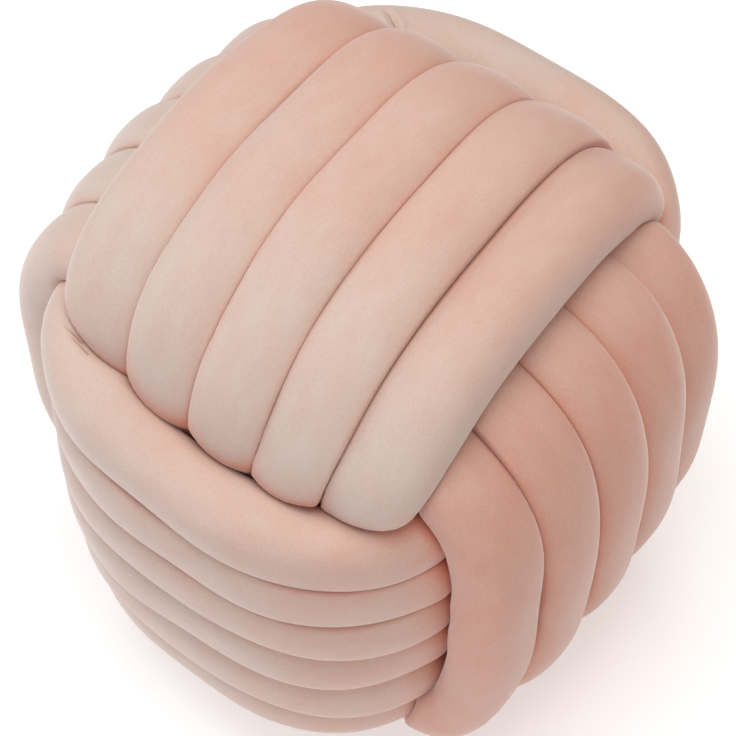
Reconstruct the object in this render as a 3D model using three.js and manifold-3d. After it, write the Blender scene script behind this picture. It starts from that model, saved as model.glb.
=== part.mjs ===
// A round floor pouf tied as a ball knot from one long stuffed velvet tube.
//
// The tube is wound in three bands, each square to the other two. Every band passes over one neighbour
// and under the other, so each of the six sides shows a row of parallel strands, and the ends of that row
// dive under the outer strands of the next side. The turns are pressed together until they flatten
// against each other, which leaves a narrow crease between strands and a small dimple at each corner.
//
// Millimetres, +Z up, front towards -Y. The origin is on the floor under the middle of the knot.

import * as THREE from 'three';
import { mergeVertices } from 'three/addons/utils/BufferGeometryUtils.js';
import Module from 'manifold-3d';

// The tube where it shows
const TUBE_RISE = 25.5; // height of a strand's crown above its own middle line
const TUBE_SPREAD = 0.57; // a strand's half width over its pitch, so that neighbours press into each other
const TUBE_FULLNESS = 2.25; // 2 gives a round section, more a fuller one that closes the creases
const BARE_SIDE_DEPTH = 0.1; // how far the side of an outer strand rounds back, as a share of the turn's reach
const BARE_SIDE_WIDTH = 0.6; // what is left there of its half width

// The knot and the floor
const CENTRE_HEIGHT = 225; // of the knot's centre above the floor, which flattens the lowest strands
const VELVET = { color: 0xd9b0a0, roughness: 0.95, metalness: 0 };

// How finely a turn is divided, in steps round the turn and across a strand
const TURN_STEPS = 40;
const STRAND_STEPS = 8;
const BARE_SIDE_STEPS = 2;
const CORNER_CROWDING = 0.4; // 0 spaces the steps evenly, more draws them towards the four corners of a turn

// The three bands. A turn lies in the plane square to `across`. It shows on the two sides that `shows`
// points to, and tucks under another band on the two sides that `tucks` points to.
// reach: from the knot's centre to a shown strand's middle line, at the middle of either side
// tuck: the same for the hidden stretch, on the plus and minus sides
// dome: half the width at which a side's rounding would close, and domeMiddle: where that side is highest
// corner: 2 bends a turn as an ellipse, more bends it later and more tightly
// strands: pitch of each, from the minus to the plus end of `across`, and lean, the shift of its foot
const BANDS = [
  {
    across: 'x',
    shows: 'z',
    tucks: 'y',
    offset: 4,
    reach: 216,
    tuck: { plus: 155, minus: 162 },
    dome: 288,
    domeMiddle: -3,
    corner: 2.9,
    strands: [
      { pitch: 54, lean: 0 },
      { pitch: 53, lean: 0 },
      { pitch: 52, lean: 0 },
      { pitch: 50, lean: 0 },
      { pitch: 51, lean: 0 },
    ],
  },
  {
    across: 'z',
    shows: 'y',
    tucks: 'x',
    offset: -11,
    reach: 198,
    tuck: { plus: 155, minus: 151 },
    dome: 383,
    domeMiddle: 9,
    corner: 2.95,
    strands: [
      { pitch: 47, lean: 0 },
      { pitch: 50, lean: 0 },
      { pitch: 47, lean: 0 },
      { pitch: 46, lean: 0 },
      { pitch: 44, lean: 0 },
      { pitch: 42, lean: 0 },
    ],
  },
  {
    across: 'y',
    shows: 'x',
    tucks: 'z',
    offset: -6,
    reach: 196,
    tuck: { plus: 172, minus: 172 },
    dome: 297,
    domeMiddle: 3,
    corner: 3.1,
    strands: [
      { pitch: 50, lean: -16 },
      { pitch: 48, lean: -6 },
      { pitch: 48, lean: 0 },
      { pitch: 50, lean: 0 },
      { pitch: 52, lean: 0 },
    ],
  },
];

const WELD = 1e-4; // points closer than this are one point
const wasm = await Module();
wasm.setup();

/** Distance from the centre of a superellipse to its outline, in the direction of an angle. */
function outlineRadius(angle, halfWidth, halfHeight, fullness) {
  const across = Math.abs(Math.cos(angle) / halfWidth) ** fullness;
  const up = Math.abs(Math.sin(angle) / halfHeight) ** fullness;
  return (across + up) ** (-1 / fullness);
}

/** Points from a coin's axis out to its rim, on the side of the given sign. */
function sideProfile(sign, isBare) {
  if (!isBare) return [new THREE.Vector2(0, sign)];
  const points = [new THREE.Vector2(0, sign * BARE_SIDE_WIDTH)];
  for (let step = 0; step < BARE_SIDE_STEPS; step += 1) {
    const angle = (Math.PI / 2) * (step / BARE_SIDE_STEPS);
    const width = BARE_SIDE_WIDTH + (1 - BARE_SIDE_WIDTH) * Math.sin(angle);
    points.push(new THREE.Vector2(1 - BARE_SIDE_DEPTH * Math.cos(angle), sign * width));
  }
  return points;
}

/** Profile of a turn filled in as a coin of unit size, with half a strand's section as its rim.
 *  A side that no neighbour presses on rounds back below the rim, as the tube does. */
function coinProfile(isFirst, isLast) {
  const rim = [];
  for (let step = 0; step <= STRAND_STEPS; step += 1) {
    const angle = Math.PI * (step / STRAND_STEPS - 0.5);
    const radius = outlineRadius(angle, 1, 1, TUBE_FULLNESS);
    rim.push(new THREE.Vector2(1 + radius * Math.cos(angle), radius * Math.sin(angle)));
  }
  return [...sideProfile(-1, isLast), ...rim, ...sideProfile(1, isFirst).reverse()];
}

/** Middle line of a turn at an angle: the point in the turn's plane, and the outward direction there. */
function middleLine(angle, band, crown) {
  const reach = crown * band.reach;
  const tuck = crown * (Math.sin(angle) > 0 ? band.tuck.plus : band.tuck.minus);
  const radius = outlineRadius(angle, reach, tuck, band.corner);
  const shown = radius * Math.cos(angle);
  const tucked = radius * Math.sin(angle);
  const slope = (value, half) => Math.sign(value) * Math.abs(value / half) ** (band.corner - 1) / half;
  const outward = new THREE.Vector2(slope(shown, reach), slope(tucked, tuck)).normalize();
  return { shown, tucked, outward };
}

/** One turn of a band, filled in to its middle. `place` is where the turn stands along `across`. */
function turnGeometry(band, strand, place) {
  const crown = Math.sqrt(1 - ((place - band.domeMiddle) / band.dome) ** 2);
  const halfWidth = TUBE_SPREAD * strand.pitch;
  const profile = coinProfile(strand === band.strands.at(0), strand === band.strands.at(-1));
  const geometry = new THREE.LatheGeometry(profile, TURN_STEPS);
  const position = geometry.attributes.position;
  const coin = new THREE.Vector3();
  for (let index = 0; index < position.count; index += 1) {
    coin.fromBufferAttribute(position, index);
    const evenAngle = Math.atan2(coin.x, coin.z);
    const angle = evenAngle + (CORNER_CROWDING / 4) * Math.sin(4 * evenAngle);
    const line = middleLine(angle, band, crown);
    const radial = Math.hypot(coin.x, coin.z);
    const inside = Math.min(radial, 1);
    const rim = TUBE_RISE * Math.max(radial - 1, 0);
    const footShare = 0.5 * (1 - line.tucked / band.tuck.plus);
    const point = {
      [band.shows]: inside * line.shown + rim * line.outward.x,
      [band.tucks]: inside * line.tucked + rim * line.outward.y,
      [band.across]: place - halfWidth * coin.y + strand.lean * footShare,
    };
    position.setXYZ(index, point.x, point.y, point.z);
  }
  return geometry;
}

/** A closed solid from a geometry, with its shared points merged and its collapsed triangles dropped. */
function solidOf(geometry) {
  const bare = geometry.clone();
  bare.deleteAttribute('normal');
  bare.deleteAttribute('uv');
  const merged = mergeVertices(bare, WELD);
  const corners = merged.index.array;
  const kept = [];
  for (let start = 0; start < corners.length; start += 3) {
    const [a, b, c] = corners.slice(start, start + 3);
    if (a !== b && b !== c && c !== a) kept.push(a, b, c);
  }
  const mesh = new wasm.Mesh({
    numProp: 3,
    vertProperties: new Float32Array(merged.attributes.position.array),
    triVerts: new Uint32Array(kept),
  });
  return new wasm.Manifold(mesh);
}

/** All the turns of one band, side by side. */
function bandSolids(band) {
  const total = band.strands.reduce((sum, strand) => sum + strand.pitch, 0);
  let edge = band.offset - total / 2;
  return band.strands.map((strand) => {
    const place = edge + strand.pitch / 2;
    edge += strand.pitch;
    return solidOf(turnGeometry(band, strand, place));
  });
}

/** What lies under the floor, as a block wider than the knot. */
function underFloor() {
  const span = 800;
  const depth = 100;
  const block = new THREE.BoxGeometry(span, span, depth);
  block.translate(0, 0, -CENTRE_HEIGHT - depth / 2);
  return solidOf(block);
}

/** The whole knot as one solid with a flat foot. */
function knotGeometry() {
  const turns = BANDS.flatMap(bandSolids);
  const knot = turns.reduce((whole, turn) => whole.add(turn)).subtract(underFloor());
  const mesh = knot.getMesh();
  const geometry = new THREE.BufferGeometry();
  geometry.setAttribute('position', new THREE.BufferAttribute(new Float32Array(mesh.vertProperties), 3));
  geometry.setIndex(new THREE.BufferAttribute(new Uint32Array(mesh.triVerts), 1));
  geometry.computeVertexNormals();
  return geometry;
}

const tube = new THREE.Mesh(knotGeometry(), new THREE.MeshStandardMaterial(VELVET));
tube.name = 'knotted_tube';
tube.position.z = CENTRE_HEIGHT;

const pouf = new THREE.Group();
pouf.add(tube);

export default pouf;
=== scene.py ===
"""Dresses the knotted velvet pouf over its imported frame.

The pouf is one long velvet tube, stuffed and tied as a ball knot. The tube winds in three bands, each
square to the other two, and every band passes over one neighbour and under the other. Here each band is
one continuous stretch of tube: its turns are swept along the wound path, pressed against each other and
the floor, and dressed with short-pile velvet.

The tables are in millimetres, the meshes in metres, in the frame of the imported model: +Z up, front
towards -Y, floor at z = 0.
"""

import logging
import math
from dataclasses import dataclass
from enum import Enum

import bpy
import numpy as np
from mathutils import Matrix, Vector


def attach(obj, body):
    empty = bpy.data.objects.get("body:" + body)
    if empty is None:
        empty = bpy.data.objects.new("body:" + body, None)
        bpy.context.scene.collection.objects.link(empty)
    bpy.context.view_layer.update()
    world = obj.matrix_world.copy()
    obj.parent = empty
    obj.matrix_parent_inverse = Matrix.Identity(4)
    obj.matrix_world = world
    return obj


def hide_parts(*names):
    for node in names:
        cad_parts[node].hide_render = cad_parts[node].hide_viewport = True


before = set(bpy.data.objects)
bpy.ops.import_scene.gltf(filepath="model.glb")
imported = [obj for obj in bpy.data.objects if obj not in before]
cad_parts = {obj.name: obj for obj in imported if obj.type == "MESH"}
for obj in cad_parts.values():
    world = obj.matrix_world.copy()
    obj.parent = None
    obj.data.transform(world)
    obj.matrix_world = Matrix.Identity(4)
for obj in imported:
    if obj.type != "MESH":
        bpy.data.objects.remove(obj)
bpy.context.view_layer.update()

log = logging.getLogger("knotted pouf")

MM = 0.001
TINY = 1e-9
FULL_TURN = 2.0 * math.pi
POUF_NODE = "knotted_tube"
BODY = "root"

# The places of a Mix node's factor, its two colours and the colour that it gives
MIX_INPUTS = (0, 6, 7)
MIX_RESULT = 2

Array = np.ndarray
Colour = tuple[float, float, float]
Place = tuple[float, float, float]
Socket = bpy.types.NodeSocket
Feed = Socket | float | int

WHITE: Colour = (1.0, 1.0, 1.0)


class Axis(Enum):
    """A direction of the frame, by its place in a vector."""

    X = 0
    Y = 1
    Z = 2


class StepOver(Enum):
    """The hidden stretch on which the tube moves over to its next turn, by the sign of its side."""

    PLUS = 1
    MINUS = -1


class Pile(Enum):
    """Which way the velvet's pile lies along the tube."""

    WITH_WINDING = 1
    AGAINST_WINDING = -1


def opaque(colour: Colour) -> tuple[float, ...]:
    """Give a colour as a node takes it, with nothing showing through."""
    return (*colour, 1.0)


def unit(vectors: Array) -> Array:
    """Give vectors of length 1 that point the same ways, one in each row."""
    return vectors / np.linalg.norm(vectors, axis=1, keepdims=True)


def step_lengths(points: Array) -> Array:
    """Give the distances from each point to the next."""
    return np.linalg.norm(np.diff(points, axis=0), axis=1)


def running_total(values: Array) -> Array:
    """Give the totals before the first value and after each."""
    return np.concatenate([[0.0], np.cumsum(values)])


class Graph:
    """A node tree with short ways to add and link its nodes."""

    def __init__(self, tree: bpy.types.NodeTree) -> None:
        """Keep the tree, and empty it."""
        self.tree = tree
        tree.nodes.clear()

    def add(self, kind: str, feeds: dict[str, object] | None = None, **settings: object) -> bpy.types.Node:
        """Add a node.

        Args:
            kind: The node's type name.
            feeds: What goes into its inputs, by name: a socket to link, or a value to set.
            settings: The node's own properties.

        Returns:
            The new node.
        """
        node = self.tree.nodes.new(kind)
        for name, value in settings.items():
            setattr(node, name, value)
        for name, value in (feeds or {}).items():
            self.feed(node.inputs[name], value)
        return node

    def feed(self, target: Socket, value: object) -> None:
        """Link a socket to an input, or set the input's own value.

        Args:
            target: The input.
            value: The socket or the value.
        """
        if isinstance(value, bpy.types.NodeSocket):
            self.tree.links.new(value, target)
        else:
            target.default_value = value

    def operate(self, kind: str, operation: str, values: tuple[object, ...]) -> bpy.types.Node:
        """Add a node that works on numbers or vectors.

        Args:
            kind: The node's type name.
            operation: What it does.
            values: What goes into its inputs, in order.

        Returns:
            The new node.
        """
        node = self.add(kind, operation=operation)
        for target, value in zip(node.inputs, values):
            self.feed(target, value)
        return node

    def math(self, operation: str, *values: Feed) -> Socket:
        """Add a sum, product or other operation on numbers, and return its result."""
        return self.operate("ShaderNodeMath", operation, values).outputs["Value"]

    def vector(self, operation: str, *values: object) -> Socket:
        """Add an operation on vectors, and return its result."""
        return self.operate("ShaderNodeVectorMath", operation, values).outputs["Vector"]

    def measure(self, operation: str, *values: object) -> Socket:
        """Add an operation on vectors that gives a number, and return the number."""
        return self.operate("ShaderNodeVectorMath", operation, values).outputs["Value"]

    def scaled(self, direction: object, amount: Feed) -> Socket:
        """Add a vector made longer or shorter, and return it."""
        feeds = {"Vector": direction, "Scale": amount}
        return self.add("ShaderNodeVectorMath", feeds, operation="SCALE").outputs["Vector"]

    def mix(self, blend: str, factor: Feed, first: object, second: object) -> Socket:
        """Add a mix of two colours.

        Args:
            blend: How they mix.
            factor: How much of the second shows.
            first: The first colour.
            second: The second colour.

        Returns:
            The mixed colour.
        """
        node = self.add("ShaderNodeMix", data_type="RGBA", blend_type=blend, clamp_factor=True)
        for place, value in zip(MIX_INPUTS, (factor, first, second)):
            self.feed(node.inputs[place], value)
        return node.outputs[MIX_RESULT]

    def mark(self, name: str) -> Socket:
        """Add a mark that is written on the mesh, and return its value."""
        return self.add("ShaderNodeAttribute", attribute_name=name).outputs["Fac"]

    def noise(self, place: Socket, scale: float, detail: float) -> Socket:
        """Add a noise at a place, and return its value."""
        feeds = {"Vector": place, "Scale": scale, "Detail": detail}
        return self.add("ShaderNodeTexNoise", feeds).outputs["Fac"]

    def varied(self, start: Feed, parts: tuple[tuple[Socket, float], ...]) -> Feed:
        """Add noises to a value, each swinging about its middle.

        Args:
            start: The value.
            parts: Each noise, and how far it swings in all.

        Returns:
            The varied value.
        """
        for noise, swing in parts:
            start = self.math("ADD", start, self.math("MULTIPLY_ADD", noise, swing, -0.5 * swing))
        return start


@dataclass(frozen=True)
class Fold:
    """A short fold in the velvet. Lengths in mm.

    It lies on the strands of the bands that it names, from start to end, which are on the velvet or no
    further from it than lift. ridge is the height of the lips beside it over its depth, and ridge_place
    how far off they lie over its width. opening is the depth at its start over that at its end.
    """

    bands: tuple[str, ...]
    start: Place
    end: Place
    depth: float
    width: float
    ridge: float = 0.3
    ridge_place: float = 2.0
    opening: float = 0.3
    lift: float = 14.0

    def middle(self) -> Array:
        """Give the place halfway along the fold, in mm."""
        return 0.5 * (np.array(self.start) + np.array(self.end))

    def run(self) -> tuple[Array, Array]:
        """Give where the fold starts, and the way from there to its end, in metres."""
        start = np.array(self.start) * MM
        return start, np.array(self.end) * MM - start

    def push(self, points: Array, directions: Array) -> Array:
        """Work out how far the fold moves the velvet.

        Args:
            points: The places on the tube, one row for each step, then direction.
            directions: The outward direction at each.

        Returns:
            How far each moves out, in metres, below zero where it sinks in.
        """
        start, span = self.run()
        share = np.clip((points - start) @ span / (span @ span), 0.0, 1.0)
        offset = points - start - share[..., None] * span
        height = (offset * directions).sum(axis=-1)
        across = np.linalg.norm(offset - height[..., None] * directions, axis=-1) / (self.width * MM)
        shape = self.ridge * np.exp(-((across - self.ridge_place) ** 2)) - np.exp(-(across**2))
        depth = self.depth * MM * (self.opening + (1.0 - self.opening) * share)
        return depth * shape * (np.abs(height) < self.lift * MM)


@dataclass(frozen=True)
class VelvetFinish:
    """Short-pile velvet: matt, mottled, with painted sheen and shade, and a pale sheen where it turns away.

    Colours are linear. Lengths are in metres. The pile's tone goes from pile_deep at 0 to pile_pale at 1,
    and each share is how far its cause moves the tone: the painted sheen of how the pile lies, the painted
    shade of a tuck under another strand, patches, strokes of the hand and the grain of the pile. The shades
    vary the brightness. The tints multiply the colour with painted shade beside a crease, reddened as by
    light bounced between strands, under another strand and on the line where a fold closes, which is
    fold_shade_width wide on each side and reads heights fold_flatten times as large as they are.
    """

    pile_pale: Colour = (0.605, 0.513, 0.45)
    pile_deep: Colour = (0.65, 0.305, 0.225)
    sheen_tint: Colour = (1.0, 0.96, 0.93)
    sheen_weight: float = 0.62
    sheen_roughness: float = 0.42
    roughness: float = 0.95
    specular: float = 0.08
    # Tints of painted shade: reddened beside a crease as by light bounced between strands, brown under a
    # crossing strand, dark where a fold closes.
    crease_shade_tint: Colour = (1.10, 0.86, 0.77)
    under_shade_tint: Colour = (0.92, 0.52, 0.34)
    fold_shade_tint: Colour = (0.50, 0.35, 0.28)
    fold_shade_width: float = 0.0011
    fold_flatten: float = 0.2
    middle_tone: float = 0.5
    # How far the painted sheen of the pile's lie and the painted shade of a tuck move the tone.
    nap_sheen_share: float = 0.30
    tuck_shade_share: float = 0.75
    patch: float = 0.06
    patch_share: float = 0.38
    stroke_along: float = 0.022
    stroke_across: float = 0.012
    stroke_share: float = 0.3
    stroke_shade: float = 0.06
    stroke_detail: float = 3.0
    pile_grain: float = 0.0016
    grain_share: float = 0.15
    grain_shade: float = 0.16
    mottle_detail: float = 2.0
    bump_distance: float = 0.0005
    bump_strength: float = 0.35

    def material(self, folds: tuple[Fold, ...]) -> bpy.types.Material:
        """Build the velvet.

        Args:
            folds: The folds that close far enough to show a line.

        Returns:
            The finished material.
        """
        velvet = bpy.data.materials.new("velvet_blush")
        velvet.use_nodes = True
        graph = Graph(velvet.node_tree)
        place = graph.add("ShaderNodeTexCoord").outputs["Object"]
        patches = graph.noise(place, 1.0 / self.patch, self.mottle_detail)
        strokes = graph.noise(self.stroke_place(graph), 1.0, self.stroke_detail)
        grain = graph.noise(place, 1.0 / self.pile_grain, self.mottle_detail)
        # Painted sheen: the pile is painted paler where it lies up and forward, deeper where it lies away.
        tone = graph.math("MULTIPLY_ADD", graph.mark("lay"), self.nap_sheen_share, self.middle_tone)
        # Painted shade: the pile is painted deeper where the strand tucks under another.
        tone = graph.math("MULTIPLY_ADD", graph.mark("tucked"), -self.tuck_shade_share, tone)
        mottle = ((patches, self.patch_share), (strokes, self.stroke_share), (grain, self.grain_share))
        tone = graph.varied(tone, mottle)
        shade = graph.varied(1.0, ((strokes, self.stroke_shade), (grain, self.grain_shade)))
        pile = graph.mix("MIX", tone, opaque(self.pile_deep), opaque(self.pile_pale))
        pile = graph.scaled(pile, shade)
        # Painted shade beside creases, reddened as by light bounced between strands, under crossing strands
        # and on the lines where folds close.
        for mark, tint in (
            (graph.mark("crease"), self.crease_shade_tint),
            (graph.mark("under"), self.under_shade_tint),
            (self.fold_shade_lines(graph, place, folds), self.fold_shade_tint),
        ):
            pile = graph.mix("MULTIPLY", mark, pile, opaque(tint))
        bump = graph.add(
            "ShaderNodeBump",
            {"Strength": self.bump_strength, "Distance": self.bump_distance, "Height": grain},
        )
        shader = graph.add(
            "ShaderNodeBsdfPrincipled",
            {
                "Base Color": pile,
                "Normal": bump.outputs["Normal"],
                "Roughness": self.roughness,
                "Specular IOR Level": self.specular,
                "Sheen Weight": self.sheen_weight,
                "Sheen Roughness": self.sheen_roughness,
                "Sheen Tint": opaque(self.sheen_tint),
            },
        )
        graph.add("ShaderNodeOutputMaterial", {"Surface": shader.outputs["BSDF"]})
        return velvet

    def fold_shade_lines(self, graph: Graph, place: Socket, folds: tuple[Fold, ...]) -> Feed:
        """Add the painted shade on the lines where folds close, darker towards the end of each.

        Args:
            graph: The velvet's tree.
            place: The place on the pouf, as a vector.
            folds: The folds.

        Returns:
            How dark the painted shade of the nearest line is, from 0 to 1.
        """
        flatten = np.array((1.0, 1.0, self.fold_flatten))
        darkest: Feed = 0.0
        for fold in folds:
            start, span = fold.run()
            span = span * flatten
            offset = graph.vector("MULTIPLY", graph.vector("SUBTRACT", place, tuple(start)), tuple(flatten))
            share = graph.measure("DOT_PRODUCT", offset, tuple(span / (span @ span)))
            share = graph.math("MINIMUM", graph.math("MAXIMUM", share, 0.0), 1.0)
            away = graph.measure("DISTANCE", offset, graph.scaled(tuple(span), share))
            near = graph.math("SUBTRACT", 1.0, graph.math("DIVIDE", away, self.fold_shade_width))
            dark = graph.math("MULTIPLY", graph.math("MAXIMUM", near, 0.0), graph.math("SQRT", share))
            darkest = graph.math("MAXIMUM", darkest, dark)
        return darkest

    def stroke_place(self, graph: Graph) -> Socket:
        """Add the place on the tube in strokes of the hand, longer along the tube than across it.

        Args:
            graph: The velvet's tree.

        Returns:
            The place, as a vector.
        """
        strokes_along = graph.math("DIVIDE", graph.mark("along"), self.stroke_along)
        strokes_across = graph.math("DIVIDE", graph.mark("around"), self.stroke_across)
        return graph.add("ShaderNodeCombineXYZ", {"X": strokes_along, "Y": strokes_across}).outputs["Vector"]


@dataclass(frozen=True)
class TubeSection:
    """The stuffed tube's section where nothing presses on it.

    rise is the crown's height above the middle line in mm, spread the half width over the pitch, and
    fullness the exponent of the outline: 2 is round, more is fuller. crowding draws the section's points
    to the side that shows, and gathering to the creases on both sides of it.
    """

    rise: float = 25.5
    spread: float = 0.66
    fullness: float = 2.4
    sides: int = 60
    crowding: float = 0.4
    gathering: float = 0.27

    def angles(self) -> Array:
        """Give the directions of the section's points, from the inner side round."""
        even = FULL_TURN * (np.arange(self.sides) + 0.5) / self.sides - math.pi
        return even - self.crowding * np.sin(even) + self.gathering * np.sin(2.0 * even)


@dataclass(frozen=True)
class Lean:
    """A shift of one end of a strand along its row, in mm.

    side and end are the signs of the side that the strand shows on and of the end that shifts. The shift
    fades along the turn, evenly or, where sharpness is more than 1, close to the end.
    """

    side: int
    end: int
    shift: float
    sharpness: float = 1.0

    def at(self, side_share: Array, end_share: Array) -> Array:
        """Give the shift along a turn.

        Args:
            side_share: How far each step is to the plus side, from -1 to 1.
            end_share: How far each step is to the plus end, from -1 to 1.

        Returns:
            The shift at each step.
        """
        near_side = 0.5 * (1.0 + self.side * side_share)
        near_end = 0.5 * (1.0 + self.end * end_share)
        return self.shift * near_side * near_end**self.sharpness


@dataclass(frozen=True)
class Strand:
    """One turn of the tube, in mm.

    pitch is its room in the row. bulge_minus says how much further out it runs on the minus side that it
    shows on, and the spills how much further it goes round the sides that it tucks under. foot is how much
    further still it goes at the minus end of the plus side. grip says how much it keeps its shape where it
    crosses another band, as an area. fuller is its width over that of an even tube.
    """

    pitch: float
    leans: tuple[Lean, ...] = ()
    bulge_minus: float = 0.0
    spill_plus: float = 0.0
    spill_minus: float = 0.0
    foot: float = 0.0
    grip: float = 0.0
    fuller: float = 1.0


@dataclass
class TubePath:
    """The middle line of a band's tube, step by step, in metres.

    room is half the strand's pitch, grip an area, shown how far a step is on the side that shows, and
    lay how pale the painted sheen of the pile makes it look. anchors are the turns at which the line settles.
    """

    turn: Array
    along: Array
    centre: Array
    outward: Array
    sideways: Array
    half_width: Array
    rise: Array
    room: Array
    grip: Array
    shown: Array
    lay: Array
    anchors: Array

    def at_anchors(self, values: Array) -> Array:
        """Give a value of the path at its anchors.

        Args:
            values: A number or a vector for each step.

        Returns:
            The same for each anchor.
        """
        columns = values.reshape(len(values), -1).T
        found = np.stack([np.interp(self.anchors, self.turn, column) for column in columns], axis=1)
        return found.reshape(len(self.anchors), *values.shape[1:])

    def directions(self, angles: Array) -> Array:
        """Give the section's directions, one row for each step, then angle."""
        outward = np.cos(angles)[None, :, None] * self.outward[:, None, :]
        return outward + np.sin(angles)[None, :, None] * self.sideways[:, None, :]

    def surface(self, directions: Array, radii: Array) -> Array:
        """Give the places at a radius in each direction, one row for each step, then direction."""
        return self.centre[:, None, :] + directions * radii[:, :, None]


@dataclass(frozen=True)
class Band:
    """One of the three bands, wound as a continuous stretch of tube. Sizes in mm.

    A turn lies in the plane square to across. It shows on both sides of shows and tucks under another
    band on both sides of tucks. reach and the tucks go from the knot's centre to the middle line. dome is
    half the width at which a side's rounding would close, dome_middle where that side is highest, and
    corner how late and tightly a turn bends. The strands go from the minus to the plus end of across.

    band_sheen_offset shifts the band's painted sheen, which paints the pile paler as the tube runs towards
    sheen_towards, and nap_sheen_range holds how pale it can be painted. tuck_shading says how much painted
    shade darkens the pile where a strand tucks under another.

    The steps are the spacing of the tube's rings, and the anchor steps that of its anchors. step_changes
    are the shares of the shown side at which the spacing changes. Near a narrow fold, out to fold_reach,
    it is fold_step. end_round is the length over which an end of the tube closes, down to end_tip.
    """

    name: str
    across: Axis
    shows: Axis
    tucks: Axis
    offset: float
    reach: float
    tuck_plus: float
    tuck_minus: float
    dome: float
    dome_middle: float
    corner: float
    step_over: StepOver
    pile: Pile
    band_sheen_offset: float
    strands: tuple[Strand, ...]
    section: TubeSection = TubeSection()
    centre_height: float = 225.0
    middle_step: float = 6.2
    end_step: float = 2.8
    hidden_step: float = 14.0
    fold_step: float = 1.3
    fold_reach: float = 38.0
    anchor_step: float = 12.8
    hidden_anchor_step: float = 32.0
    step_changes: tuple[float, float, float, float] = (0.25, 0.45, 0.93, 0.97)
    step_over_share: float = 1.0 / 12.0
    end_round: float = 26.0
    end_tip: float = 0.1
    # Painted sheen: palest where the tube runs this way, within this range; then how much painted shade
    # darkens a tuck.
    sheen_towards: Place = (0.0, -0.9, 1.4)
    nap_sheen_range: tuple[float, float] = (-0.85, 0.95)
    tuck_shading: float = 1.0
    flattening: float = 0.22
    trial_steps: int = 1500

    def places(self) -> Array:
        """Stand the turns side by side, each with the room of its pitch.

        Returns:
            Where each turn stands along across.
        """
        pitches = np.array([strand.pitch for strand in self.strands])
        edges = self.offset - pitches.sum() / 2.0 + running_total(pitches)
        return (edges[:-1] + edges[1:]) / 2.0

    def carried(self, values: Array, turn: Array) -> Array:
        """Carry a value of each strand along the path, passing smoothly from one turn to the next.

        Args:
            values: One value for each strand.
            turn: The turns made so far, at each step.

        Returns:
            The value at each step.
        """
        result = np.full_like(turn, values[0])
        for number, change in enumerate(np.diff(values), start=1):
            share = np.clip((turn - number) / (2.0 * self.step_over_share) + 0.5, 0.0, 1.0)
            result += change * share * share * (3.0 - 2.0 * share)
        return result

    def of_strands(self, size: str, turn: Array) -> Array:
        """Carry one of the strands' sizes, by its name, along the path."""
        return self.carried(np.array([getattr(strand, size) for strand in self.strands]), turn)

    def line(self, turn: Array) -> tuple[Array, Array, Array]:
        """Work out the middle line.

        Args:
            turn: The turns made so far, at each step.

        Returns:
            The points, the outward directions, and how far each point is on the shown side.
        """
        angle = FULL_TURN * turn + self.step_over.value * math.pi / 2.0
        plus_share = 0.5 * (1.0 + np.cos(angle))
        place = self.carried(self.places(), turn)
        crown = np.sqrt(1.0 - ((place - self.dome_middle) / self.dome) ** 2)
        bulge = np.where(np.cos(angle) > 0.0, 0.0, self.of_strands("bulge_minus", turn))
        reach = crown * (self.reach + bulge)
        high = self.tuck_plus + self.of_strands("spill_plus", turn)
        low = self.tuck_minus + self.of_strands("spill_minus", turn)
        low += self.of_strands("foot", turn) * plus_share
        tuck = crown * np.where(np.sin(angle) > 0.0, high, low)
        inverse = np.abs(np.cos(angle) / reach) ** self.corner + np.abs(np.sin(angle) / tuck) ** self.corner
        radius = inverse ** (-1.0 / self.corner)
        shown = radius * np.cos(angle)
        tucked = radius * np.sin(angle)
        points = np.zeros((len(turn), 3))
        outward = np.zeros_like(points)
        for axis, part, size in ((self.shows, shown, reach), (self.tucks, tucked, tuck)):
            points[:, axis.value] = part
            outward[:, axis.value] = np.sign(part) * np.abs(part / size) ** (self.corner - 1.0) / size
        points[:, self.across.value] = place + self.leaning(turn, shown / reach, tucked / tuck)
        points[:, Axis.Z.value] += self.centre_height
        return points, unit(outward), np.abs(shown) / reach

    def leaning(self, turn: Array, side_share: Array, end_share: Array) -> Array:
        """Give how far the strands lean, passing smoothly from one turn to the next.

        Args:
            turn: The turns made so far, at each step.
            side_share: How far each step is to the plus side of shows, from -1 to 1.
            end_share: How far each step is to the plus side of tucks, from -1 to 1.

        Returns:
            The shift along across, at each step.
        """
        total = np.zeros_like(turn)
        for number, strand in enumerate(self.strands):
            present = self.carried(np.eye(len(self.strands))[number], turn)
            for lean in strand.leans:
                total += present * lean.at(side_share, end_share)
        return total

    def spaced_turns(self, steps: tuple[float, float, float], folds: tuple[Fold, ...]) -> Array:
        """Space steps along the path, closest at narrow folds.

        Args:
            steps: The step where the tube is hidden, where its ends show and along the middle of a strand.
            folds: The folds in its velvet.

        Returns:
            The steps, in turns.
        """
        hidden, end, middle = steps
        trial = np.linspace(0.0, len(self.strands), self.trial_steps * len(self.strands) + 1)
        points, _, shown = self.line(trial)
        step = np.interp(shown, self.step_changes, (hidden, end, end, middle))
        for fold in folds:
            if fold.width < self.end_step:
                near = np.linalg.norm(points - fold.middle(), axis=1) < self.fold_reach
                step[near] = self.fold_step
        counted = running_total(step_lengths(points) / (0.5 * (step[1:] + step[:-1])))
        wanted = np.linspace(0.0, counted[-1], int(counted[-1]) + 1)
        return np.interp(wanted, counted, trial)

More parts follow.
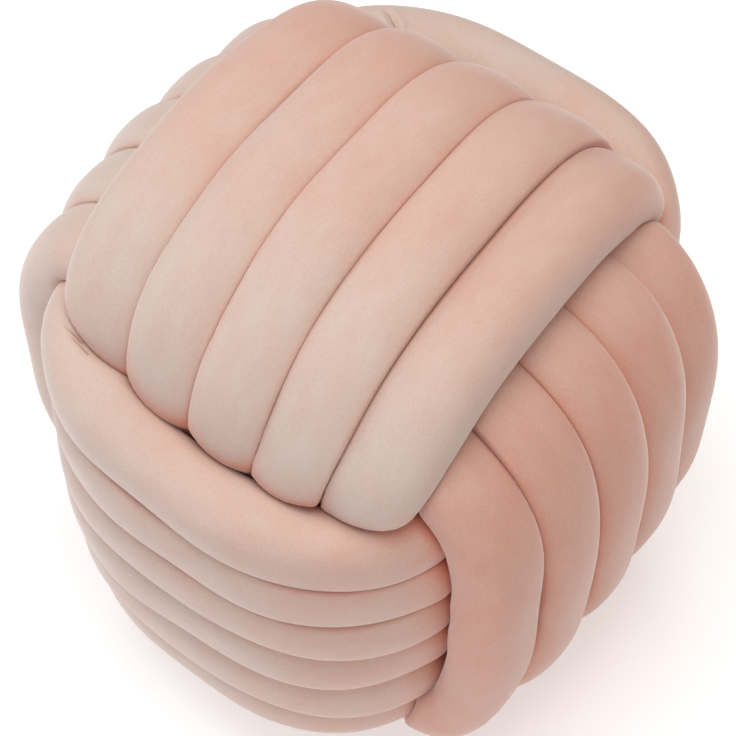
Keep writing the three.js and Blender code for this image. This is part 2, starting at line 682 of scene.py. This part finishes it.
    def path(self, folds: tuple[Fold, ...]) -> TubePath:
        """Lay out the band's tube.

        Args:
            folds: The folds in its velvet.

        Returns:
            The middle line with its directions and the tube's size at each step.
        """
        turn = self.spaced_turns((self.hidden_step, self.end_step, self.middle_step), folds)
        points, outward, shown = self.line(turn)
        tangent = unit(np.gradient(points, axis=0))
        along = running_total(step_lengths(points))
        from_end = np.clip(np.minimum(along, along[-1] - along) / self.end_round, 0.0, 1.0)
        rounding = np.maximum(np.sqrt(1.0 - (1.0 - from_end) ** 2), self.end_tip)
        pitch = self.of_strands("pitch", turn)
        width = self.of_strands("fuller", turn) * (1.0 + self.flattening * (1.0 - shown))
        return TubePath(
            turn=turn,
            along=along * MM,
            centre=points * MM,
            outward=outward,
            sideways=unit(np.cross(tangent, outward)),
            half_width=self.section.spread * pitch * width * rounding * MM,
            rise=self.section.rise * rounding * MM,
            room=0.5 * pitch * MM,
            grip=self.of_strands("grip", turn) * MM**2,
            shown=shown,
            # Painted sheen: the pile is painted paler as the tube runs up and forward, shifted for each band.
            lay=np.clip(self.pile.value * (tangent @ self.sheen_towards) + self.band_sheen_offset, *self.nap_sheen_range),
            anchors=self.spaced_turns((self.hidden_anchor_step, self.anchor_step, self.anchor_step), ()),
        )


@dataclass
class Limits:
    """The most that a tube's radius can be, with one row for each step. Lengths in metres.

    beside is between the strands of its band, crossing at the other bands and on the floor, and covered
    under those strands of the other bands that pass over it.
    """

    beside: Array
    crossing: Array
    covered: Array

    @staticmethod
    def nearness(limit: Array, free: Array, falloff: float) -> Array:
        """Give how near each point of the free section comes to a limit, from 0 to 1."""
        return 1.0 / (1.0 + (limit / free) ** falloff)


@dataclass(frozen=True)
class Winding:
    """How tightly the turns lie. Lengths in metres.

    firmness is the sharpness of the crease where two strands of a band meet, and crossing_firmness where
    bands cross. nearby is how far away a strand can press, and own_share the part of a turn on either side
    that can't press on itself. Where bands cross, the strand that shows keeps its shape and the one below
    yields to it, by an area of over_yield, but over_squeeze and under_squeeze press them together. A
    strand shows from over_from on, and fully over_fade later. over_steepness is how soon the difference
    counts in full. least_push leaves out strands that hardly lie in a direction. The falloffs say how
    soon the painted shade beside a crease, under another strand and at a tuck fades.

    closeness is how near two middle lines may come, over the sum of their half pitches. A stretch sinks
    where it shows less than hidden_from, and fully hidden_fade below that. It takes settle_rounds, each
    closing settle_share of what is left and spread over settle_spread anchors on either side.
    """

    firmness: float = 64.0
    crossing_firmness: float = 14.0
    over_squeeze: float = 1.02
    under_squeeze: float = 1.14
    nearby: float = 0.11
    own_share: float = 0.25
    least_push: float = 0.0005
    least_radius: float = 0.003
    over_yield: float = 350e-6
    over_from: float = 0.3
    over_fade: float = 0.5
    over_steepness: float = 2.0
    crease_shade_falloff: float = 12.0
    under_shade_falloff: float = 9.0
    tuck_shade_falloff: float = 3.6
    closeness: float = 0.86
    hidden_from: float = 0.62
    hidden_fade: float = 0.3
    settle_rounds: int = 14
    settle_share: float = 0.5
    settle_spread: int = 5

    def settle(self, paths: list[TubePath]) -> None:
        """Sink the hidden stretches until none runs too close under another strand.

        Args:
            paths: The paths of all bands, which are moved.
        """
        points = [path.at_anchors(path.centre) for path in paths]
        start = [part.copy() for part in points]
        rooms = np.concatenate([path.at_anchors(path.room) for path in paths])
        turns = np.concatenate([path.anchors for path in paths])
        shown = np.concatenate([path.at_anchors(path.shown) for path in paths])
        owner = np.concatenate([np.full(len(part), number) for number, part in enumerate(points)])
        other_band = owner[:, None] != owner[None, :]
        other_turn = np.abs(turns[:, None] - turns[None, :]) > self.own_share
        wanted = np.where(other_band | other_turn, self.closeness * (rooms[:, None] + rooms[None, :]), 0.0)
        sinks = self.settle_share * np.clip((self.hidden_from - shown) / self.hidden_fade, 0.0, 1.0)
        window = np.hanning(2 * self.settle_spread + 3)[1:-1]
        window /= window.sum()
        rows = np.arange(len(rooms))
        for _ in range(self.settle_rounds):
            together = np.concatenate(points)
            gap = together[:, None, :] - together[None, :, :]
            distance = np.sqrt((gap**2).sum(axis=2)) + TINY
            short = np.maximum(wanted - distance, 0.0)
            worst = short.argmax(axis=1)
            push = gap[rows, worst] * (short[rows, worst] / distance[rows, worst] * sinks)[:, None]
            for number, part in enumerate(points):
                own = push[owner == number]
                for axis in Axis:
                    part[:, axis.value] += np.convolve(own[:, axis.value], window, mode="same")
        for path, part, before in zip(paths, points, start):
            for axis in Axis:
                moved = (part - before)[:, axis.value]
                path.centre[:, axis.value] += np.interp(path.turn, path.anchors, moved)

    def limits(self, path: TubePath, others: list[TubePath], angles: Array) -> Limits:
        """Work out how far the tube can swell before it meets another strand or the floor.

        Two strands meet on the plane between their middle lines, nearer to the thinner one.

        Args:
            path: The tube's path.
            others: The paths of the other bands.
            angles: The directions of the section.

        Returns:
            The most that the radius can be.
        """
        points, rooms, grips, turns, shown = (
            np.concatenate([getattr(part, size) for part in (path, *others)])
            for size in ("centre", "room", "grip", "turn", "shown")
        )
        shown = np.clip((shown - self.over_from) / self.over_fade, 0.0, 1.0)
        crosses = np.arange(len(points)) >= len(path.turn)
        directions = path.directions(angles)
        beside, crossing, covered = (np.empty(directions.shape[:2]) for _ in range(3))
        for step, towards in enumerate(directions):
            gap = points - path.centre[step]
            square = np.einsum("ij,ij->i", gap, gap)
            elsewhere = crosses | (np.abs(turns - path.turn[step]) > self.own_share)
            near = (square < self.nearby**2) & elsewhere
            push = gap[near] @ towards.T
            over = np.clip(self.over_steepness * (shown[step] - shown[near]), -1.0, 1.0) * self.over_yield
            over += path.grip[step] - grips[near]
            share = square[near] + path.room[step] ** 2 - rooms[near] ** 2 + over * crosses[near]
            meets = share[:, None] / (2.0 * np.maximum(push, self.least_push))
            meets = np.where(push > self.least_push, meets, np.inf)
            beside[step] = meets[~crosses[near]].min(axis=0, initial=np.inf)
            above = meets[crosses[near] & (over >= 0.0)].min(axis=0, initial=np.inf)
            covered[step] = meets[crosses[near] & (over < 0.0)].min(axis=0, initial=np.inf)
            squeezed = np.minimum(self.over_squeeze * above, self.under_squeeze * covered[step])
            floor = path.centre[step, Axis.Z.value] / np.maximum(-towards[:, Axis.Z.value], TINY)
            crossing[step] = np.minimum(squeezed, floor)
        return Limits(*(np.maximum(limit, self.least_radius) for limit in (beside, crossing, covered)))

    def pressed(self, free: Array, limits: Limits) -> Array:
        """Press the free section into its limits, rounding the edges of the contacts.

        Args:
            free: The radius where nothing presses, one row for each step.
            limits: The most that it can be.

        Returns:
            The pressed radius.
        """
        radii = free
        for limit, firmness in ((limits.beside, self.firmness), (limits.crossing, self.crossing_firmness)):
            radii = (radii**-firmness + limit**-firmness) ** (-1.0 / firmness)
        return np.minimum(radii, limits.beside)


class TubeSweep:
    """Sweeps the tube's free section along a path with Geometry Nodes.

    path_numbers and path_vectors are what the tree reads from the path's points, and ring_marks the step
    and side that each swept point knows. swept_marks are all that nothing reads once the tube is pressed.
    """

    path_numbers = ("half_width", "rise")
    path_vectors = ("centre", "outward", "sideways")
    ring_marks = ("step", "side")
    swept_marks = (*path_numbers, *path_vectors, *ring_marks, "sharp_edge")

    def __init__(self, velvet: bpy.types.Material) -> None:
        """Build the tree for a finish.

        Args:
            velvet: The tube's finish.
        """
        self.velvet = velvet
        self.tree = bpy.data.node_groups.new("wound tube", "GeometryNodeTree")
        self.inputs: dict[str, str] = {}
        self.build()

    def build(self) -> None:
        """Build the tree: a ring at each step of the path, shaped from the path's own attributes."""
        self.tree.interface.new_socket("Path", in_out="INPUT", socket_type="NodeSocketGeometry")
        for name, kind in (
            ("Sides", "NodeSocketInt"),
            ("Crowding", "NodeSocketFloat"),
            ("Gathering", "NodeSocketFloat"),
            ("Fullness", "NodeSocketFloat"),
            ("Velvet", "NodeSocketMaterial"),
        ):
            socket = self.tree.interface.new_socket(name, in_out="INPUT", socket_type=kind)
            self.inputs[name] = socket.identifier
        self.tree.interface.new_socket("Tube", in_out="OUTPUT", socket_type="NodeSocketGeometry")
        graph = Graph(self.tree)
        given = graph.add("NodeGroupInput").outputs
        path = graph.add("GeometryNodeMeshToCurve", {"Mesh": given["Path"]})
        ring = graph.add("GeometryNodeCurvePrimitiveCircle", {"Resolution": given["Sides"]})
        number = graph.add("GeometryNodeSplineParameter").outputs["Index"]
        marked = graph.add(
            "GeometryNodeStoreNamedAttribute",
            {"Geometry": ring.outputs["Curve"], "Name": "side", "Value": number},
            data_type="FLOAT",
            domain="POINT",
        )
        swept = graph.add(
            "GeometryNodeCurveToMesh",
            {"Curve": path.outputs["Curve"], "Profile Curve": marked.outputs["Geometry"], "Fill Caps": True},
        )
        tube = swept.outputs["Mesh"]
        for kind, feeds in (
            ("GeometryNodeSetPosition", {"Position": self.ring_point(graph, given)}),
            ("GeometryNodeSetShadeSmooth", {}),
            ("GeometryNodeRealizeInstances", {}),
            ("GeometryNodeSetMaterial", {"Material": given["Velvet"]}),
        ):
            tube = graph.add(kind, {"Geometry": tube, **feeds}).outputs["Geometry"]
        graph.add("NodeGroupOutput", {"Tube": tube})

    def ring_point(self, graph: Graph, given: bpy.types.bpy_prop_collection) -> Socket:
        """Add the place of a point on the free section, at the angles that TubeSection gives.

        Args:
            graph: The tree.
            given: The tree's inputs.

        Returns:
            The place, as a vector.
        """
        number = graph.math("ADD", self.named(graph, "side", "FLOAT"), 0.5)
        even = graph.math("MULTIPLY_ADD", graph.math("DIVIDE", number, given["Sides"]), FULL_TURN, -math.pi)
        crowded = graph.math("MULTIPLY", given["Crowding"], graph.math("SINE", even))
        twice = graph.math("SINE", graph.math("MULTIPLY", even, 2.0))
        gathered = graph.math("MULTIPLY_ADD", twice, given["Gathering"], even)
        angle = graph.math("SUBTRACT", gathered, crowded)
        sine = graph.math("SINE", angle)
        cosine = graph.math("COSINE", angle)
        terms = []
        for part, size in ((sine, "half_width"), (cosine, "rise")):
            ratio = graph.math("DIVIDE", graph.math("ABSOLUTE", part), self.named(graph, size, "FLOAT"))
            terms.append(graph.math("POWER", ratio, given["Fullness"]))
        radius = graph.math("POWER", graph.math("ADD", *terms), graph.math("DIVIDE", -1.0, given["Fullness"]))
        place = self.named(graph, "centre", "FLOAT_VECTOR")
        for part, direction in ((cosine, "outward"), (sine, "sideways")):
            towards = self.named(graph, direction, "FLOAT_VECTOR")
            place = graph.vector("ADD", place, graph.scaled(towards, graph.math("MULTIPLY", part, radius)))
        return place

    @staticmethod
    def named(graph: Graph, name: str, kind: str) -> Socket:
        """Add an attribute of the path, and return its value."""
        node = graph.add("GeometryNodeInputNamedAttribute", {"Name": name}, data_type=kind)
        return node.outputs["Attribute"]

    def tube(self, name: str, section: TubeSection, path: TubePath) -> bpy.types.Object:
        """Sweep one tube.

        Args:
            name: The piece's name.
            section: The tube's section.
            path: The tube's path.

        Returns:
            The piece, as a plain mesh with no modifier.
        """
        count = len(path.turn)
        line = bpy.data.meshes.new(f"{name}_path")
        line.from_pydata(path.centre.tolist(), [(step, step + 1) for step in range(count - 1)], [])
        numbers = {size: getattr(path, size) for size in self.path_numbers}
        for size, values in {**numbers, "step": np.arange(count)}.items():
            data = line.attributes.new(size, "FLOAT", "POINT").data
            data.foreach_set("value", values.astype(np.float32))
        for size in self.path_vectors:
            data = line.attributes.new(size, "FLOAT_VECTOR", "POINT").data
            data.foreach_set("vector", getattr(path, size).astype(np.float32).ravel())
        piece = bpy.data.objects.new(name, line)
        bpy.context.scene.collection.objects.link(piece)
        modifier = piece.modifiers.new("wound tube", "NODES")
        modifier.node_group = self.tree
        for size in ("Sides", "Crowding", "Gathering", "Fullness"):
            modifier[self.inputs[size]] = getattr(section, size.lower())
        modifier[self.inputs["Velvet"]] = self.velvet
        evaluated = piece.evaluated_get(bpy.context.evaluated_depsgraph_get())
        mesh = bpy.data.meshes.new_from_object(evaluated)
        piece.modifiers.remove(modifier)
        piece.data = mesh
        mesh.name = name
        bpy.data.meshes.remove(line)
        return piece

    @classmethod
    def rows(cls, mesh: bpy.types.Mesh) -> tuple[Array, ...]:
        """Find each point of a swept mesh in the rows of its path.

        Args:
            mesh: The swept mesh.

        Returns:
            The steps and the sides of its points.
        """
        found = []
        for name in cls.ring_marks:
            values = np.empty(len(mesh.vertices), np.float32)
            mesh.attributes[name].data.foreach_get("value", values)
            found.append(values.round().astype(int))
        return tuple(found)


@dataclass(frozen=True)
class Stuffing:
    """The slight unevenness of the filling, as soft swells along the tube. Lengths in metres.

    The drifts set the swells of neighbouring turns apart, so that they don't line up.
    """

    height: float = 0.0007
    shortest: float = 0.055
    longest: float = 0.13
    least_drift: float = 2.0
    most_drift: float = 5.0
    waves: int = 14
    seed: int = 41

    def swell(self, points: Array, turn: Array) -> Array:
        """Give how far the filling pushes each point out.

        Args:
            points: The places on the tube, one row for each step, then direction.
            turn: The turns made so far, at each step.

        Returns:
            The push, in metres.
        """
        draw = np.random.default_rng(self.seed)
        total = np.zeros(points.shape[:2])
        for _ in range(self.waves):
            heading = draw.normal(size=3)
            heading /= np.linalg.norm(heading)
            length = draw.uniform(self.shortest, self.longest)
            phase = draw.uniform(0.0, FULL_TURN)
            drift = draw.uniform(self.least_drift, self.most_drift)
            total += np.cos(FULL_TURN * (points @ heading) / length + phase + drift * np.round(turn)[:, None])
        return total * self.height * math.sqrt(2.0 / self.waves)


@dataclass
class Knot:
    """The three bands, wound through each other."""

    bands: tuple[Band, ...]
    winding: Winding
    stuffing: Stuffing
    folds: tuple[Fold, ...]
    fill: float = 0.9

    def build(self, velvet: bpy.types.Material) -> list[bpy.types.Object]:
        """Wind, press and dress the bands.

        Args:
            velvet: The tube's finish.

        Returns:
            One piece for each band.
        """
        paths = [band.path(self.folds_of(band)) for band in self.bands]
        self.winding.settle(paths)
        sweep = TubeSweep(velvet)
        pieces = []
        for band, path in zip(self.bands, paths):
            others = [other for other in paths if other is not path]
            piece = sweep.tube(band.name, band.section, path)
            self.press(piece.data, band, path, others)
            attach(piece, BODY)
            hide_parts(POUF_NODE)
            pieces.append(piece)
        return pieces

    def folds_of(self, band: Band) -> tuple[Fold, ...]:
        """Give the folds in a band's velvet."""
        return tuple(fold for fold in self.folds if band.name in fold.bands)

    def press(self, mesh: bpy.types.Mesh, band: Band, path: TubePath, others: list[TubePath]) -> None:
        """Press a swept tube into the room that its neighbours leave it, and fold its velvet.

        Args:
            mesh: The swept tube.
            band: Its band.
            path: Its path.
            others: The paths of the other bands.
        """
        rows = TubeSweep.rows(mesh)
        places = np.empty(3 * len(mesh.vertices), np.float32)
        mesh.vertices.foreach_get("co", places)
        angles = band.section.angles()
        directions = path.directions(angles)
        swept = np.empty_like(directions)
        swept[rows] = places.reshape(-1, 3)
        free = np.linalg.norm(swept - path.centre[:, None, :], axis=2)
        limits = self.winding.limits(path, others, angles)
        points = path.surface(directions, self.winding.pressed(free, limits))
        push = sum((fold.push(points, directions) for fold in self.folds_of(band)), np.zeros_like(free))
        swollen = free + self.stuffing.swell(points, path.turn) + np.maximum(push, 0.0)
        radii = self.winding.pressed(swollen, limits) + np.minimum(push, 0.0)
        points = path.surface(directions, np.maximum(radii, self.winding.least_radius))
        points[:, :, Axis.Z.value] = np.maximum(points[:, :, Axis.Z.value], 0.0)
        # Painted shade beside creases, at tucks and under crossing strands; the place along and around the
        # tube; the painted sheen of the pile's lie.
        marks = {
            "crease": limits.nearness(limits.beside, free, self.winding.crease_shade_falloff),
            "tucked": band.tuck_shading * limits.nearness(limits.covered, free, self.winding.tuck_shade_falloff),
            "under": band.tuck_shading * limits.nearness(limits.covered, free, self.winding.under_shade_falloff),
            "along": np.broadcast_to(path.along[:, None], free.shape),
            "around": angles[None, :] * path.room[:, None],
            "lay": np.broadcast_to(path.lay[:, None], free.shape),
        }
        for name in TubeSweep.swept_marks:
            if name in mesh.attributes:
                mesh.attributes.remove(mesh.attributes[name])
        mesh.vertices.foreach_set("co", points[rows].astype(np.float32).ravel())
        for name, values in marks.items():
            data = mesh.attributes.new(name, "FLOAT", "POINT").data
            data.foreach_set("value", values[rows].astype(np.float32))
        mesh.update()


@dataclass(frozen=True)
class Softbox:
    """A large square light that faces the pouf. Lengths in metres, power in watts."""

    name: str
    stands: Place
    power: float
    tint: Colour = WHITE
    side: float = 2.0

    def hang(self, target: Vector) -> None:
        """Hang the light.

        Args:
            target: The point that it faces.
        """
        data = bpy.data.lights.new(self.name, "AREA")
        data.shape = "SQUARE"
        data.size = self.side
        data.energy = self.power
        data.color = self.tint
        lamp = bpy.data.objects.new(self.name, data)
        lamp.location = self.stands
        lamp.rotation_euler = (target - Vector(self.stands)).to_track_quat("-Z", "Y").to_euler()
        bpy.context.scene.collection.objects.link(lamp)


@dataclass(frozen=True)
class Studio:
    """A plain pale floor under soft light, and the camera. Lengths in metres, angles in degrees.

    The floor glows a little, as a lit sweep of paper does. sky_strength is the light of the white sky, and
    backdrop_tone how bright it looks behind the pouf.
    """

    floor_half: float = 1.8
    floor_tone: float = 0.85
    floor_roughness: float = 0.9
    floor_specular: float = 0.1
    floor_glow: float = 0.31
    sky_strength: float = 0.07
    backdrop_tone: float = 0.95
    softboxes: tuple[Softbox, ...] = (
        Softbox("softbox_overhead", (0.0, 0.0, 3.2), 63.0, tint=(1.0, 0.99, 0.955)),
        Softbox("softbox_left", (-2.4, -0.5, 1.6), 32.0, tint=(0.97, 1.0, 1.05)),
        Softbox("softbox_front", (-0.3, -2.6, 1.2), 20.2, tint=(0.95, 1.0, 1.10)),
        Softbox("softbox_right", (2.1, -0.7, 2.0), 20.0, tint=(1.0, 0.895, 0.87)),
        Softbox("softbox_back", (0.4, 2.4, 1.8), 7.0, tint=(1.0, 0.88, 0.76)),
        Softbox("softbox_back_low", (0.3, 2.9, 0.6), 8.0),
    )
    target: Place = (0.0082, -0.0040, 0.225)
    azimuth: float = 36.53
    elevation: float = 57.20
    distance: float = 1.597
    lens: float = 112.2
    shift: tuple[float, float] = (-0.0117, 0.0107)

    def build(self) -> None:
        """Set up the floor, the light and the camera."""
        self.lay_floor()
        self.light()
        self.place_camera()

    def lay_floor(self) -> None:
        """Lay the floor."""
        half = self.floor_half
        mesh = bpy.data.meshes.new("floor")
        corners = [(-half, -half, 0.0), (half, -half, 0.0), (half, half, 0.0), (-half, half, 0.0)]
        mesh.from_pydata(corners, [], [(0, 1, 2, 3)])
        floor = bpy.data.objects.new("floor", mesh)
        bpy.context.scene.collection.objects.link(floor)
        paint = bpy.data.materials.new("pale_floor")
        paint.use_nodes = True
        shader = paint.node_tree.nodes["Principled BSDF"]
        shader.inputs["Base Color"].default_value = (self.floor_tone, self.floor_tone, self.floor_tone, 1.0)
        shader.inputs["Roughness"].default_value = self.floor_roughness
        shader.inputs["Specular IOR Level"].default_value = self.floor_specular
        shader.inputs["Emission Strength"].default_value = self.floor_glow
        mesh.materials.append(paint)

    def light(self) -> None:
        """Set the softboxes, and a dim white sky that shows as a pale backdrop."""
        world = bpy.data.worlds.new("studio")
        world.use_nodes = True
        graph = Graph(world.node_tree)
        seen = graph.add("ShaderNodeLightPath").outputs["Is Camera Ray"]
        strength = graph.math("MULTIPLY_ADD", seen, self.backdrop_tone - self.sky_strength, self.sky_strength)
        sky = graph.add("ShaderNodeBackground", {"Color": opaque(WHITE), "Strength": strength})
        graph.add("ShaderNodeOutputWorld", {"Surface": sky.outputs["Background"]})
        bpy.context.scene.world = world
        bpy.context.scene.view_settings.view_transform = "Standard"
        for softbox in self.softboxes:
            softbox.hang(Vector(self.target))

    def place_camera(self) -> None:
        """Place the camera at the photograph's viewing angle."""
        turn = math.radians(self.azimuth)
        tilt = math.radians(self.elevation)
        back = Vector((math.sin(turn) * math.cos(tilt), -math.cos(turn) * math.cos(tilt), math.sin(tilt)))
        data = bpy.data.cameras.new("camera")
        data.lens = self.lens
        data.shift_x, data.shift_y = self.shift
        camera = bpy.data.objects.new("camera", data)
        camera.location = Vector(self.target) + back * self.distance
        camera.rotation_euler = back.to_track_quat("Z", "Y").to_euler()
        bpy.context.scene.collection.objects.link(camera)
        bpy.context.scene.camera = camera


# The near ends of the first three top strands lean to the right, close to where they tuck under
END_LEAN = Lean(1, -1, 4.0, sharpness=5.0)

TOP_BAND = Band(
    name="top_turns",
    across=Axis.X,
    shows=Axis.Z,
    tucks=Axis.Y,
    offset=2.2,
    reach=216.0,
    tuck_plus=155.0,
    tuck_minus=162.0,
    dome=288.0,
    dome_middle=-3.0,
    corner=2.9,
    step_over=StepOver.PLUS,
    pile=Pile.WITH_WINDING,
    band_sheen_offset=1.1,
    strands=(
        Strand(55.0, (Lean(1, -1, -1.0), END_LEAN), spill_plus=2.0, spill_minus=13.0, grip=100.0),
        Strand(
            53.0,
            (Lean(1, -1, 3.0), END_LEAN),
            spill_plus=-7.0,
            spill_minus=7.0,
            grip=-220.0,
            fuller=0.96,
        ),
        Strand(52.0, (Lean(1, -1, 2.0), END_LEAN), spill_plus=-7.0, spill_minus=5.0, grip=-220.0),
        Strand(50.0, (Lean(1, -1, 5.0),), spill_plus=3.0, spill_minus=6.0, grip=-150.0, fuller=1.08),
        Strand(48.4, (Lean(1, -1, 5.0),), spill_plus=10.0, spill_minus=12.0, grip=150.0, fuller=1.04),
    ),
)
FRONT_BAND = Band(
    name="front_turns",
    across=Axis.Z,
    shows=Axis.Y,
    tucks=Axis.X,
    offset=-9.5,
    reach=198.0,
    tuck_plus=151.0,
    tuck_minus=147.0,
    dome=383.0,
    dome_middle=9.0,
    corner=2.95,
    step_over=StepOver.MINUS,
    pile=Pile.AGAINST_WINDING,
    band_sheen_offset=0.85,
    strands=(
        Strand(44.6, (Lean(-1, 1, -13.0),)),
        Strand(50.0, (Lean(-1, 1, -16.0),)),
        Strand(47.0, (Lean(-1, 1, -7.0),)),
        Strand(46.0, (Lean(-1, 1, -9.0),)),
        Strand(44.0, (Lean(-1, 1, -14.0),)),
        Strand(
            39.8,
            (Lean(-1, 1, -19.0), Lean(-1, -1, 13.0, sharpness=4.0), Lean(1, -1, 9.0, sharpness=3.0)),
            spill_minus=12.0,
            grip=150.0,
        ),
    ),
)
SIDE_BAND = Band(
    name="side_turns",
    across=Axis.Y,
    shows=Axis.X,
    tucks=Axis.Z,
    offset=-6.0,
    reach=196.0,
    tuck_plus=176.0,
    tuck_minus=172.0,
    dome=297.0,
    dome_middle=3.0,
    corner=3.1,
    step_over=StepOver.MINUS,
    pile=Pile.AGAINST_WINDING,
    band_sheen_offset=0.3,
    tuck_shading=0.0,
    strands=(
        Strand(47.4, (Lean(1, -1, -15.0),), bulge_minus=3.5, spill_minus=13.0, foot=12.0),
        Strand(48.0, (Lean(1, -1, -6.0),), spill_minus=13.0, foot=17.0),
        Strand(48.0),
        Strand(50.0),
        Strand(49.3),
    ),
)

FOLDS = (
    Fold(("front_turns",), (-113.6, 171.7, 362.0), (-98.5, 163.2, 362.0), depth=3.6, width=2.4, ridge=0.4),
    Fold(("front_turns",), (-122.0, -162.5, 362.0), (-105.0, -164.6, 361.0), depth=1.8, width=2.2),
    Fold(("front_turns",), (-112.5, -166.0, 361.5), (-96.0, -168.8, 360.0), depth=1.6, width=2.2),
)


def main() -> None:
    """Build the pouf and the studio, and report each piece."""
    logging.basicConfig(level=logging.INFO, format="%(message)s")
    Studio().build()
    velvet = VelvetFinish().material(FOLDS)
    knot = Knot((TOP_BAND, FRONT_BAND, SIDE_BAND), Winding(), Stuffing(), FOLDS)
    for piece in knot.build(velvet):
        piece.data.calc_loop_triangles()
        log.info("%s: %d triangles", piece.name, len(piece.data.loop_triangles))


if __name__ == "__main__":
    main()
